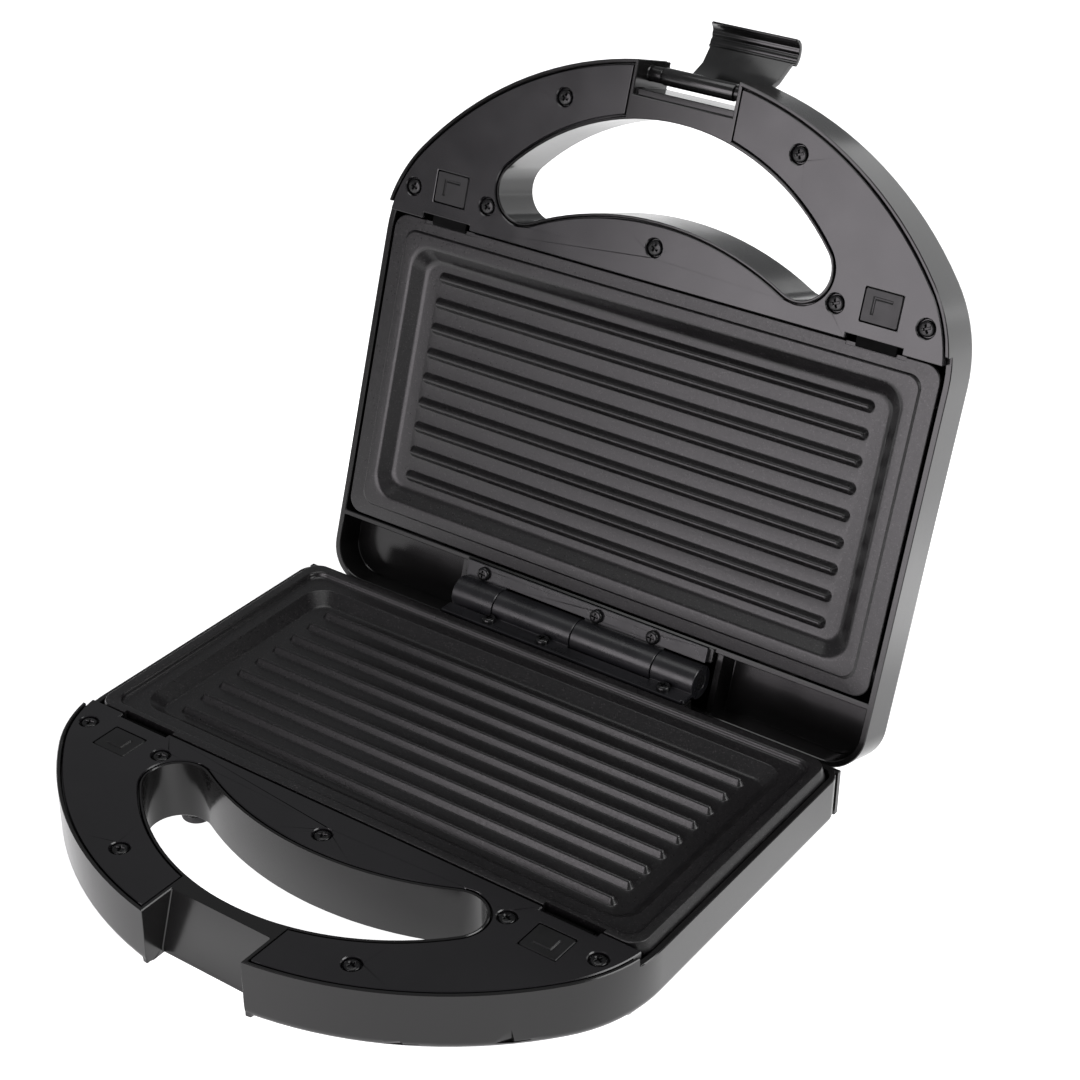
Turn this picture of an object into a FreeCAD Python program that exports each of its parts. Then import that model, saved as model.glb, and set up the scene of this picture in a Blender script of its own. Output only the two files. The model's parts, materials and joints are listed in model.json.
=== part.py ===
import FreeCAD, Part
import math
import os

from FreeCAD import Vector

# Panini press with removable ribbed plates, shown with its lid open.
# Millimetres. +Z is up, the hinge line runs along X, the carry handle points to -Y and the feet
# stand on Z = 0. Pieces are drawn with the cooking plate centred on X = Y = 0, and the last step
# moves them all by ORIGIN_SHIFT_Y, so that the origin is under the middle of the open press.
# The two halves are nearly mirror images, so most pieces are drawn once in a "half" frame:
# its Z = 0 is the rim plane of the half, and -Z goes into the half, away from the food.
# in_base() and in_lid() put such a piece in place. The lid is drawn closed, then swung open.

# ---- driving dimensions: closed press -------------------------------------------------------
BASE_RIM_Z = 45.4
LID_RIM_Z = 48.6
BASE_DEPTH = 22.7
LID_DEPTH = 23.4
DOME_TOP_Z = 91.0
PAN_BOTTOM_Z = 5.0
LID_OPEN_DEG = 107.0
ORIGIN_SHIFT_Y = -23.6

# ---- housing outline, seen from above -------------------------------------------------------
HALF_WIDTH = 121.0
FRONT_R = 139.8
FRONT_CORNER_R = 55.0
BASE_REAR_Y = 63.6
BASE_REAR_R = 7.5
LID_REAR_Y = 89.6
LID_REAR_R = 15.0
SKIN = 2.2
WALL_T = 2.0
RIM_W = 1.35
GROOVE_W = 0.65
EDGE_FILLET = 4.0
WELL_FRONT_Y = -61.7
WELL_REAR_Y = 63.6
WELL_RIM_DROP = 3.2
CROSS_WALL_Y = -68.0
POCKET_FLOOR_Z = -17.4

# ---- hand hole in the carry handle ----------------------------------------------------------
HOLE_FRONT_Y = -28.2
HOLE_FRONT_R = 92.5
HOLE_WAVE_Y = 37.8
HOLE_WAVE_R = 120.0
HOLE_LOBE_R = 13.0
HOLE_RIM = 1.6

# ---- latch recess at the front of the handle ------------------------------------------------
RECESS_HALF = 20.8
RECESS_WALL = 2.2
PANEL_TOP_Y = -124.2
PANEL_FOOT_Y = -130.5
PANEL_FOOT_Z = 25.4
CATCH_T = 2.0
LID_BRIDGE_Y = -128.0

# ---- covers, plates and ribs ----------------------------------------------------------------
COVER_T = 2.6
PLATE_HALF_X = 116.2
PLATE_HALF_Y = 60.7
LIP_W = 4.5
LEDGE_W = 5.6
WELL_WALL_W = 4.9
PLATE_T = 2.4
LEDGE_Z = -2.4
FLOOR_Z = -6.9
FLANGE_Z = -5.0
LID_FLANGE_Z = -3.3
RIB_COUNT = 9
RIB_PITCH = 10.0
RIB_LENGTH = 190.0
RIB_R = 2.6

# ---- hinge ----------------------------------------------------------------------------------
HINGE_Y = 74.8
HINGE_Z = 47.34
BARREL_R = 6.5
PIN_R = 3.0
PIN_PLAY = 0.05
LEAF_T = 1.6
LEAF_OFFSET = 1.7
LEAF_FRONT_Y = 62.0
LEAF_REAR_Y = 67.9
LEAF_SCREW_Y = 65.4
LEAF_HALF_X = 54.3
HINGE_BOSS = (-56.0, 56.0, 62.2, 67.6)
BARREL_CUTS = (-54.3, -35.0, 1.0, 37.0, 55.5)
KNUCKLE_GAP = 0.4
BASE_HINGE_SCREWS_X = (-34.0, -9.0, 45.0)
LID_HINGE_SCREWS_X = (-46.0, 6.5, 31.5)

# ---- buttons, tongues, latch and feet -------------------------------------------------------
BUTTON_X = 91.8
BUTTON_Y = -75.0
BUTTON_SIZE = (14.2, 11.8)
BUTTON_PLAY = 0.35
SLOT_X = (80.7, 102.8)
SLOT_Y = (-63.9, -60.8)
TONGUE_TIP_Y = -59.6
TONGUE_TOP = -6.7
TONGUE_UNDER = -8.3
TONGUE_HALF = 7.8
CAP_UNDER = -3.4
COLLAR_TOP = -10.6
COLLAR_UNDER = -11.6
FLANGE_CATCH_Z = -3.6
NOTCH_Y = -59.3
ROD_Y = -133.5
ROD_Z = 59.0
ROD_R = 1.5
PIVOT_R = 2.9
CLIP_BARREL_R = 3.2
CLIP_HALF = 14.9
CLIP_LIP_HALF = 18.6
CLIP_REACH = 38.7
CLIP_T = 2.0
CLIP_LIP_DEG = (105.0, 122.3)
FOOT_R = 6.2
FRONT_FOOT = (84.0, -47.5)
REAR_FOOT = (60.0, 76.0)
SCREW_R = 3.5
SHANK_R = 1.3
SHANK_HOLE_R = 1.6
SCREW_SEAT = -1.8
COVER_SCREWS = ((-109.3, -72.4), (109.3, -72.4), (-74.5, -72.5), (74.5, -72.5),
                (-49.1, -118.8), (49.1, -118.8), (0.0, -74.2))
PAN_SCREW_Z = 6.4
STANDOFF = (60.0, 40.0)
STANDOFF_R = 3.4
REAR_TAB_X = 80.0
REAR_TAB_HALF = 8.0
REAR_TAB_Z = (-8.5, -7.3)
FAR = 400.0

# ---- heater, inlet gland and pilot lamps ----------------------------------------------------
ELEMENT_R = 3.2
ELEMENT_Z = FLOOR_Z - PLATE_T - ELEMENT_R - 0.1
ELEMENT_LEG_Y = 27.0
ELEMENT_END_X = 86.0
REFLECTOR_T = 0.8
REFLECTOR_Z = ELEMENT_Z - ELEMENT_R - REFLECTOR_T
GLAND_X = 30.0
GLAND_Z = 12.25
GLAND_R = 4.3
GLAND_FLANGE_R = 5.0
GLAND_BORE_R = 3.4
LAMP_X = (-9.0, 9.0)
LAMP_Y = -45.0
LAMP_R = 3.6


# ---- small helpers --------------------------------------------------------------------------
def box(x0, x1, y0, y1, z0, z1):
    return Part.makeBox(x1 - x0, y1 - y0, z1 - z0, Vector(x0, y0, z0))


def rod_x(x0, x1, y, z, radius):
    return Part.makeCylinder(radius, x1 - x0, Vector(x0, y, z), Vector(1, 0, 0))


def post(x, y, z0, z1, radius):
    return Part.makeCylinder(radius, z1 - z0, Vector(x, y, z0))


def fuse(shapes):
    first, rest = shapes[0], list(shapes[1:])
    return first.fuse(rest).removeSplitter() if rest else first


def slab(edges, z0, z1):
    """A plate of the closed outline given by edges in the XY plane, from z0 up to z1."""
    face = Part.Face(Part.Wire(Part.__sortEdges__(edges)))
    return face.translated(Vector(0, 0, z0)).extrude(Vector(0, 0, z1 - z0))


def yz_prism(points, x0, x1):
    """A straight bar along X with the given (y, z) polygon as its section."""
    ring = [Vector(x0, y, z) for y, z in points]
    return Part.Face(Part.makePolygon(ring + ring[:1])).extrude(Vector(x1 - x0, 0, 0))


def rounded_rect(x0, x1, y0, y1, radius, z=0.0):
    """The wire of a rectangle with round corners, at height z."""
    corners = ((x1 - radius, y0 + radius, 270), (x1 - radius, y1 - radius, 0),
               (x0 + radius, y1 - radius, 90), (x0 + radius, y0 + radius, 180))
    arcs = [Part.ArcOfCircle(Part.Circle(Vector(x, y, z), Vector(0, 0, 1), radius),
                             math.radians(start), math.radians(start + 90))
            for x, y, start in corners]
    edges = []
    for arc, following in zip(arcs, arcs[1:] + arcs[:1]):
        edges.append(arc.toShape())
        edges.append(Part.makeLine(arc.EndPoint, following.StartPoint))
    return Part.Wire(edges)


def frustum(low, high):
    """The solid between two rounded rectangles, each (x0, x1, y0, y1, radius, z)."""
    return Part.makeLoft([rounded_rect(*low), rounded_rect(*high)], True, True)


def centred(half_x, half_y, radius, z):
    return (-half_x, half_x, -half_y, half_y, radius, z)


def arc_through(start, middle, end):
    return Part.Arc(start, middle, end).toShape()


def polar(centre, radius, angle):
    return centre + Vector(radius * math.cos(angle), radius * math.sin(angle), 0)


def flip_x(point):
    return Vector(-point.x, point.y, point.z)


# ---- the two outlines that everything follows ----------------------------------------------
def housing_outline(inset, rear_y, rear_radius):
    """Round-fronted outline of a half, moved in by inset."""
    corner_centre = Vector(HALF_WIDTH - FRONT_CORNER_R, 0, 0)
    corner_centre.y = -math.sqrt((FRONT_R - FRONT_CORNER_R) ** 2 - corner_centre.x ** 2)
    join_angle = math.atan2(corner_centre.y, corner_centre.x)
    corner = FRONT_CORNER_R - inset
    rear = max(rear_radius - inset, 0.5)
    side_x = HALF_WIDTH - inset
    join = polar(Vector(0, 0, 0), FRONT_R - inset, join_angle)
    side_front = Vector(side_x, corner_centre.y, 0)
    rear_centre = Vector(side_x - rear, rear_y - inset - rear, 0)
    side_rear = Vector(side_x, rear_centre.y, 0)
    rear_end = Vector(rear_centre.x, rear_y - inset, 0)
    corner_mid = polar(corner_centre, corner, join_angle / 2)
    rear_mid = polar(rear_centre, rear, math.radians(45))
    right = [arc_through(join, corner_mid, side_front),
             Part.makeLine(side_front, side_rear),
             arc_through(side_rear, rear_mid, rear_end)]
    left = [arc_through(flip_x(join), flip_x(corner_mid), flip_x(side_front)),
            Part.makeLine(flip_x(side_front), flip_x(side_rear)),
            arc_through(flip_x(side_rear), flip_x(rear_mid), flip_x(rear_end))]
    front = arc_through(flip_x(join), Vector(0, inset - FRONT_R, 0), join)
    return right + left + [front, Part.makeLine(rear_end, flip_x(rear_end))]


def hole_outline(offset):
    """Kidney outline of the hand hole, grown by offset. All six arcs meet tangent."""
    reach_front = HOLE_FRONT_R - HOLE_LOBE_R
    reach_wave = HOLE_WAVE_R + HOLE_LOBE_R
    lobe_y = ((reach_front ** 2 - reach_wave ** 2 + HOLE_WAVE_Y ** 2 - HOLE_FRONT_Y ** 2)
              / (2 * (HOLE_WAVE_Y - HOLE_FRONT_Y)))
    lobe = Vector(math.sqrt(reach_front ** 2 - (lobe_y - HOLE_FRONT_Y) ** 2), lobe_y, 0)
    front_centre = Vector(0, HOLE_FRONT_Y, 0)
    wave_centre = Vector(0, HOLE_WAVE_Y, 0)
    front_angle = math.atan2(lobe.y - front_centre.y, lobe.x)
    wave_angle = math.atan2(wave_centre.y - lobe.y, -lobe.x)
    radius = HOLE_LOBE_R + offset
    start = polar(lobe, radius, front_angle)
    middle = polar(lobe, radius, (front_angle + wave_angle) / 2)
    end = polar(lobe, radius, wave_angle)
    front_mid = Vector(0, HOLE_FRONT_Y - HOLE_FRONT_R - offset, 0)
    wave_mid = Vector(0, HOLE_WAVE_Y - HOLE_WAVE_R + offset, 0)
    return [arc_through(start, middle, end),
            arc_through(flip_x(start), flip_x(middle), flip_x(end)),
            arc_through(flip_x(start), front_mid, start),
            arc_through(flip_x(end), wave_mid, end)]


# ---- placing a half-frame piece -------------------------------------------------------------
def in_base(shape):
    return shape.translated(Vector(0, 0, BASE_RIM_Z))


def closed_lid(shape):
    flipped = shape.mirror(Vector(0, 0, 0), Vector(0, 0, 1))
    return flipped.translated(Vector(0, 0, LID_RIM_Z))


def swing_open(shape):
    opened = shape.copy()
    opened.rotate(Vector(0, HINGE_Y, HINGE_Z), Vector(1, 0, 0), -LID_OPEN_DEG)
    return opened


def in_lid(shape):
    return swing_open(closed_lid(shape))


# ---- housings -------------------------------------------------------------------------------
def half_housing(depth, rear_y, rear_radius):
    """Outer skin of a half: rim, hand-hole tunnel, handle floor and well walls."""
    outer = slab(housing_outline(0, rear_y, rear_radius), -depth, 0)
    bottom_edges = [e for e in outer.Edges
                    if abs(e.BoundBox.ZMax + depth) < 0.01]
    outer = outer.makeFillet(EDGE_FILLET, bottom_edges)
    wall = RIM_W + GROOVE_W + 0.4
    hollow = slab(housing_outline(wall, rear_y, rear_radius), SKIN - depth, 1)
    rebate = slab(housing_outline(RIM_W, rear_y, rear_radius), -COVER_T, 1)
    well_rim = box(-FAR, FAR, WELL_FRONT_Y - 3, FAR, -WELL_RIM_DROP, 1)
    shell = outer.cut([hollow, rebate, well_rim])

    tunnel_outer = slab(hole_outline(0.4), -depth, 0)
    tunnel_rebate = slab(hole_outline(0.4), -COVER_T, 1).cut(
        slab(hole_outline(-HOLE_RIM + 1.0), -COVER_T - 1, 2))
    tunnel_hole = slab(hole_outline(-HOLE_RIM), -depth - 1, 1)
    cross_wall = box(-HALF_WIDTH, HALF_WIDTH, CROSS_WALL_Y, CROSS_WALL_Y + WALL_T,
                     -depth + 1, -COVER_T)
    cross_wall = cross_wall.common(slab(housing_outline(1, rear_y, rear_radius), -depth, 0))
    rear_wall = box(-HALF_WIDTH + 1, HALF_WIDTH - 1, WELL_REAR_Y - WALL_T, WELL_REAR_Y,
                    -depth + 1, -WELL_RIM_DROP)
    plate_posts = [post(x, y, -depth + 1, FLANGE_Z, 4.0)
                   for x in (-112.6, 112.6) for y in (-48.0, 48.0)]
    screw_posts = [post(x, y, -depth + 1, -COVER_T, SCREW_R) for x, y in COVER_SCREWS]
    shell = fuse([shell, tunnel_outer, cross_wall, rear_wall] + plate_posts + screw_posts
                 + tongue_rails(depth))
    floor_window = slab(rounded_rect(-107, 107, -60, WELL_REAR_Y - 8, 8).Edges,
                        -depth - 1, -depth + SKIN + 1)
    openings = [tunnel_hole, tunnel_rebate, floor_window]
    for side in (-1, 1):
        tongue_x, tab_x = side * BUTTON_X, side * REAR_TAB_X
        openings.append(box(tongue_x - TONGUE_HALF - 0.4, tongue_x + TONGUE_HALF + 0.4,
                            CROSS_WALL_Y - 1, CROSS_WALL_Y + WALL_T + 1,
                            TONGUE_UNDER - 0.3, 1))
        openings.append(box(tab_x - REAR_TAB_HALF - 0.5, tab_x + REAR_TAB_HALF + 0.5,
                            WELL_REAR_Y - WALL_T - 1, WELL_REAR_Y - 0.4,
                            REAR_TAB_Z[0] - 0.3, REAR_TAB_Z[1] + 0.3))
    bores = [post(x, y, -12, 0, SHANK_R) for x, y in COVER_SCREWS]
    return shell.cut(openings + bores)


def recess_walls(depth, front_y):
    """End walls and back wall of the latch recess, down to the handle floor."""
    outline = slab(housing_outline(0.3, BASE_REAR_Y, BASE_REAR_R), -depth + 0.5, 0)
    ends = [box(min(side * RECESS_HALF, side * (RECESS_HALF + RECESS_WALL)),
                max(side * RECESS_HALF, side * (RECESS_HALF + RECESS_WALL)),
                -FRONT_R, -116, -depth + 0.5, 0) for side in (-1, 1)]
    ends += [box(-RECESS_HALF - 1, RECESS_HALF + 1, front_y, -116, -depth + 0.5, 0)]
    return fuse(ends).common(outline)


def recess_rebate():
    """The cover is set into the two end walls, behind a narrow rim."""
    inside = slab(housing_outline(RIM_W, BASE_REAR_Y, BASE_REAR_R), -COVER_T, 1).cut(
        slab(hole_outline(1.0 - HOLE_RIM), -COVER_T - 1, 2))
    edge = RECESS_HALF + RIM_W
    return [inside.common(box(min(side * edge, side * (edge + 2)), max(side * edge, side * (edge + 2)),
                              -FRONT_R, -116, -COVER_T, 1)) for side in (-1, 1)]


def base_housing():
    shell = half_housing(BASE_DEPTH, BASE_REAR_Y, BASE_REAR_R)
    shell = shell.fuse(recess_walls(BASE_DEPTH, PANEL_FOOT_Y)).cut(recess_rebate())
    shell = in_base(shell)
    foot = BASE_RIM_Z - BASE_DEPTH
    front_of_panel = yz_prism([(PANEL_TOP_Y, BASE_RIM_Z + 0.01), (PANEL_FOOT_Y, PANEL_FOOT_Z),
                               (PANEL_FOOT_Y, foot - 1), (-150, foot - 1),
                               (-150, BASE_RIM_Z + 0.01)], -RECESS_HALF, RECESS_HALF)
    inside = yz_prism([(-121.4, 43.2), (PANEL_TOP_Y + 1.4, 43.2), (-127.4, PANEL_FOOT_Z + 1),
                       (-127.4, foot - 1), (-121.4, foot - 1)], -18.6, 18.6)
    hand_hole = in_base(slab(hole_outline(-HOLE_RIM), -BASE_DEPTH - 1, 1))
    hook_room = box(-RECESS_HALF, RECESS_HALF, -150, -121.5, foot - 1, PANEL_FOOT_Z - CATCH_T)
    hinge_boss = box(*HINGE_BOSS, 37, HINGE_Z - LEAF_OFFSET - LEAF_T)
    shell = shell.cut([front_of_panel, inside, hook_room, hand_hole])
    shell = fuse([shell, hinge_boss])
    return shell.cut([post(x, LEAF_SCREW_Y, 38, 45, SHANK_R) for x in BASE_HINGE_SCREWS_X])


def lid_housing():
    shell = half_housing(LID_DEPTH, LID_REAR_Y, LID_REAR_R)
    shell = shell.fuse(recess_walls(LID_DEPTH, LID_BRIDGE_Y)).cut(recess_rebate())
    gap = box(-RECESS_HALF, RECESS_HALF, -150, LID_BRIDGE_Y, -LID_DEPTH - 1, 1)
    hand_hole = slab(hole_outline(-HOLE_RIM), -LID_DEPTH - 1, 1)
    bridge_step = box(-RECESS_HALF, RECESS_HALF, LID_BRIDGE_Y - 1, -125.6, -2.2, 1)
    pocket_floor = box(-HALF_WIDTH + 1.5, HALF_WIDTH - 1.5, 62, LID_REAR_Y - 1.5,
                       POCKET_FLOOR_Z, POCKET_FLOOR_Z + WALL_T)
    pocket_floor = pocket_floor.common(
        slab(housing_outline(1.2, LID_REAR_Y, LID_REAR_R), -20, 0))
    boss_top = -(HINGE_Z + LEAF_OFFSET + LEAF_T - LID_RIM_Z)
    hinge_boss = box(*HINGE_BOSS, -16, boss_top)
    cheeks = [box(side * 58 - 1.2, side * 58 + 1.2, 63, LID_REAR_Y - 2, -16, -4.6)
              for side in (-1, 1)]
    pivots = [rod_x(min(side * 15.2, side * 21), max(side * 15.2, side * 21), ROD_Y,
                    LID_RIM_Z - ROD_Z, PIVOT_R) for side in (-1, 1)]
    shell = shell.cut([gap, hand_hole, bridge_step])
    shell = fuse([shell, pocket_floor, hinge_boss] + cheeks + pivots)
    rod_bore = rod_x(-22.5, 22.5, ROD_Y, LID_RIM_Z - ROD_Z, ROD_R)
    bores = [post(x, LEAF_SCREW_Y, -9, boss_top, SHANK_R) for x in LID_HINGE_SCREWS_X]
    return in_lid(shell.cut([rod_bore] + bores))


def base_pan():
    """Dished underside that holds the feet, with a tail under the hinge for the rear feet."""
    top = BASE_RIM_Z - BASE_DEPTH
    belly = frustum((-116, 116, -62, 60.5, 10, top), (-96, 96, -48.5, 57, 12, PAN_BOTTOM_Z))
    tail = frustum((-74, 74, 30, 85, 10, top - 3.2), (-71, 71, 30, 85, 10, PAN_BOTTOM_Z))
    belly_in = frustum((-114, 114, -60, 58.5, 8, top + 0.01),
                       (-94, 94, -46.5, 55, 10, PAN_BOTTOM_Z + SKIN))
    tail_in = frustum((-71.8, 71.8, 32, 82.8, 8, top - 5.4),
                      (-68.8, 68.8, 32, 82.8, 8, PAN_BOTTOM_Z + SKIN))
    feet = [post(side * x, y, PAN_BOTTOM_Z - 2, PAN_BOTTOM_Z + 9, FOOT_R)
            for side in (-1, 1) for x, y in (FRONT_FOOT, REAR_FOOT)]
    shell = fuse([belly, tail] + feet).cut([belly_in, tail_in])
    standoffs = standoff_posts(PAN_BOTTOM_Z + 1, BASE_RIM_Z + REFLECTOR_Z, STANDOFF_R)
    shell = fuse([shell] + standoffs)
    gland_hole = Part.makeCylinder(GLAND_R, 20, Vector(GLAND_X, 75, GLAND_Z), Vector(0, 1, 0))
    sinks = standoff_posts(PAN_BOTTOM_Z - 1, PAN_SCREW_Z, SCREW_R - 0.6)
    bores = standoff_posts(PAN_BOTTOM_Z, PAN_SCREW_Z + 12, SHANK_R)
    return shell.cut([gland_hole] + sinks + bores)


def standoff_places():
    return [(side_x * STANDOFF[0], side_y * STANDOFF[1]) for side_x in (-1, 1) for side_y in (-1, 1)]


def standoff_posts(z0, z1, radius):
    return [post(x, y, z0, z1, radius) for x, y in standoff_places()]


def lid_dome():
    low = LID_RIM_Z + LID_DEPTH
    outer = frustum((-117, 117, -66, 86, 16, low), (-103, 103, -57, 78, 20, DOME_TOP_Z))
    rim_edges = [e for e in outer.Edges if abs(e.BoundBox.ZMin - DOME_TOP_Z) < 0.01]
    outer = outer.makeFillet(5.0, rim_edges)
    inner = frustum((-115, 115, -64, 84, 14, low - 0.01),
                    (-101, 101, -55, 76, 18, DOME_TOP_Z - SKIN))
    standoffs = standoff_posts(LID_RIM_Z - REFLECTOR_Z, DOME_TOP_Z - 1, STANDOFF_R)
    lamp_holes = [post(x, LAMP_Y, DOME_TOP_Z - 4, DOME_TOP_Z + 1, LAMP_R) for x in LAMP_X]
    return swing_open(fuse([outer.cut(inner)] + standoffs).cut(lamp_holes))


# ---- covers ---------------------------------------------------------------------------------
def cover():
    """Flat C-shaped cover around the hand hole."""
    inset = RIM_W + GROOVE_W
    plate = slab(housing_outline(inset, BASE_REAR_Y, BASE_REAR_R), -COVER_T, 0)
    end_x = RECESS_HALF + RIM_W + GROOVE_W
    cuts = [slab(hole_outline(0), -COVER_T - 1, 1),
            box(-FAR, FAR, WELL_FRONT_Y, FAR, -COVER_T - 1, 1),
            box(-end_x, end_x, -FAR, -100, -COVER_T - 1, 1)]
    width, height = BUTTON_SIZE
    for side in (-1, 1):
        slot_low, slot_high = sorted((side * SLOT_X[0], side * SLOT_X[1]))
        cuts.append(box(slot_low, slot_high, SLOT_Y[0], FAR, -COVER_T - 1, 1))
        cuts.append(box(side * BUTTON_X - width / 2 - BUTTON_PLAY,
                        side * BUTTON_X + width / 2 + BUTTON_PLAY,
                        BUTTON_Y - height / 2 - BUTTON_PLAY,
                        BUTTON_Y + height / 2 + BUTTON_PLAY, -COVER_T - 1, 1))
    cuts += [post(x, y, SCREW_SEAT, 1, SCREW_R) for x, y in COVER_SCREWS]
    cuts += [post(x, y, -COVER_T - 1, 0, SHANK_HOLE_R) for x, y in COVER_SCREWS]
    return plate.cut(cuts)


def screw(x, y, head_z, radius, head_h, length):
    """Pan-head cross-recess screw whose head sits on head_z and whose shank goes down."""
    head = post(x, y, head_z, head_z + head_h, radius)
    head = head.makeFillet(head_h * 0.6, [head.Edges[0]])
    cross = [box(x - 1.5, x + 1.5, y - 0.35, y + 0.35, head_z + head_h - 0.9, head_z + 9),
             box(x - 0.35, x + 0.35, y - 1.5, y + 1.5, head_z + head_h - 0.9, head_z + 9)]
    shank = post(x, y, head_z - length, head_z, SHANK_R)
    return fuse([head, shank]).cut(cross)


def cover_screws():
    return Part.makeCompound([screw(x, y, SCREW_SEAT, 2.9, 1.6, 9.0) for x, y in COVER_SCREWS])


# ---- cooking plates -------------------------------------------------------------------------
def plate(has_lip):
    """Die-cast plate: rounded tray with nine full-length ribs and a flange around it."""
    lip_x, lip_y = PLATE_HALF_X, PLATE_HALF_Y
    ledge_x, ledge_y = lip_x - LIP_W, lip_y - LIP_W
    well_x, well_y = ledge_x - LEDGE_W, ledge_y - LEDGE_W
    floor_x, floor_y = well_x - WELL_WALL_W, well_y - WELL_WALL_W
    if has_lip:
        rim = frustum(centred(lip_x + 1.9, lip_y + 0.4, 7, FLANGE_Z + 1.2),
                      centred(lip_x, lip_y, 6, -0.1))
        flange = slab(rounded_rect(-lip_x - 1.9, lip_x + 1.9, -lip_y - 0.4, lip_y + 0.4, 7).Edges,
                      FLANGE_Z, FLANGE_Z + 1.2)
        lip_hollow = frustum(centred(ledge_x, ledge_y, 5, LEDGE_Z),
                             centred(ledge_x + 0.5, ledge_y + 0.5, 5.5, 0.5))
        body = fuse([rim, flange]).cut(lip_hollow)
    else:
        flange_x = lip_x + 1.2
        body = slab(rounded_rect(-flange_x, flange_x, -lip_y, lip_y, 6).Edges,
                    FLANGE_Z, LID_FLANGE_Z)
        raised = frustum(centred(ledge_x - 0.4, ledge_y - 0.4, 5, FLANGE_Z),
                         centred(ledge_x - 1.0, ledge_y - 1.0, 5, LEDGE_Z))
        body = fuse([body, raised])
    tray = frustum(centred(floor_x + 1.6, floor_y + 1.6, 7, FLOOR_Z - PLATE_T),
                   centred(well_x + 1.6, well_y + 1.6, 9, FLANGE_Z + 0.2))
    well = frustum(centred(floor_x, floor_y, 6, FLOOR_Z),
                   centred(well_x + 0.5, well_y + 0.5, 9, LEDGE_Z + 0.5))
    body = fuse([body, tray] + rear_tabs(lip_y)).cut(well)
    return fuse([body] + ribs()).cut(plate_notches())


def rear_tabs(flange_y):
    """Two hooks under the rear flange, which slip into slots in the housing."""
    low, high = REAR_TAB_Z
    front_y = flange_y - 1.6
    profile = [(front_y, FLANGE_Z + 0.2), (front_y, low), (WELL_REAR_Y - 0.7, low),
               (WELL_REAR_Y - 0.7, high), (flange_y, high), (flange_y, FLANGE_Z + 0.2)]
    return [yz_prism(profile, x - REAR_TAB_HALF, x + REAR_TAB_HALF)
            for x in (-REAR_TAB_X, REAR_TAB_X)]


def ribs():
    """Rounded ridges with domed ends, standing on the plate floor."""
    half = RIB_LENGTH / 2 - RIB_R
    under = box(-FAR, FAR, -FAR, FAR, -FAR, FLOOR_Z - 0.5)
    made = []
    for i in range(RIB_COUNT):
        y = (i - (RIB_COUNT - 1) / 2) * RIB_PITCH
        ridge = fuse([rod_x(-half, half, y, FLOOR_Z, RIB_R),
                      Part.makeSphere(RIB_R, Vector(-half, y, FLOOR_Z)),
                      Part.makeSphere(RIB_R, Vector(half, y, FLOOR_Z))])
        made.append(ridge.cut(under))
    return made


def plate_notches():
    """The front flange is notched where the locking tongues hold it down."""
    half = (SLOT_X[1] - SLOT_X[0]) / 2 + 0.6
    return [box(side * BUTTON_X - half, side * BUTTON_X + half, -FAR, NOTCH_Y, FLANGE_CATCH_Z, 2)
            for side in (-1, 1)]


# ---- heating parts --------------------------------------------------------------------------
def element():
    """U-shaped sheathed heater with a terminal pin at each end."""
    bend_x = ELEMENT_END_X - ELEMENT_LEG_Y
    legs = [rod_x(-ELEMENT_END_X, bend_x, side * ELEMENT_LEG_Y, ELEMENT_Z, ELEMENT_R)
            for side in (-1, 1)]
    ring = Part.makeTorus(ELEMENT_LEG_Y, ELEMENT_R, Vector(bend_x, 0, ELEMENT_Z),
                          Vector(0, 0, 1))
    bend = ring.common(box(bend_x, FAR, -FAR, FAR, -FAR, FAR))
    pins = [rod_x(-ELEMENT_END_X - 9, -ELEMENT_END_X, side * ELEMENT_LEG_Y, ELEMENT_Z, 1.6)
            for side in (-1, 1)]
    return fuse(legs + [bend] + pins)


def reflector():
    """Thin pressed tray that throws the heat up at the plate."""
    floor = REFLECTOR_Z
    outer = frustum(centred(100, 53, 8, floor), centred(104, 55, 10, floor + 5))
    inner = frustum(centred(99.2, 52.2, 7.5, floor + REFLECTOR_T),
                    centred(103.3, 54.3, 9.5, floor + 5.1))
    lead_holes = [post(-94, side * ELEMENT_LEG_Y, floor - 1, floor + 2, 3.0) for side in (-1, 1)]
    return outer.cut([inner] + lead_holes)


def element_clamps():
    """Clamp lugs that hold the heater on the reflector, one each side of the sheath."""
    floor = ELEMENT_Z - ELEMENT_R
    clamps = []
    for x in (-45.0, 35.0):
        for side in (-1, 1):
            y = side * ELEMENT_LEG_Y
            lugs = box(x - 4, x + 4, y - 9, y + 9, floor, floor + 1.0)
            clamps += lugs.cut(rod_x(x - 5, x + 5, y, ELEMENT_Z, ELEMENT_R)).Solids
    return Part.makeCompound(clamps)


def thermostat(x, y):
    """Disc thermostat clipped under the reflector, with its two tabs."""
    top = REFLECTOR_Z
    body = post(x, y, top - 4.6, top, 8.0)
    tabs = [box(x + side * 5 - 1.6, x + side * 5 + 1.6, y - 0.4, y + 0.4, top - 9.2, top - 4.0)
            for side in (-1, 1)]
    return fuse([body] + tabs)


def terminal_block():
    block = box(-16, 16, 60, 70, PAN_BOTTOM_Z + SKIN, PAN_BOTTOM_Z + SKIN + 7)
    wells = [post(x, 65, PAN_BOTTOM_Z + SKIN + 2, 40, 2.2) for x in (-10, 0, 10)]
    return block.cut(wells)


def fuse_link():
    axis_z = REFLECTOR_Z - 2.2
    barrel = rod_x(-58, -44, 0, axis_z, 2.2)
    wires = [rod_x(-64, -58, 0, axis_z, 0.6), rod_x(-44, -38, 0, axis_z, 0.6)]
    return fuse([barrel] + wires)


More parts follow.
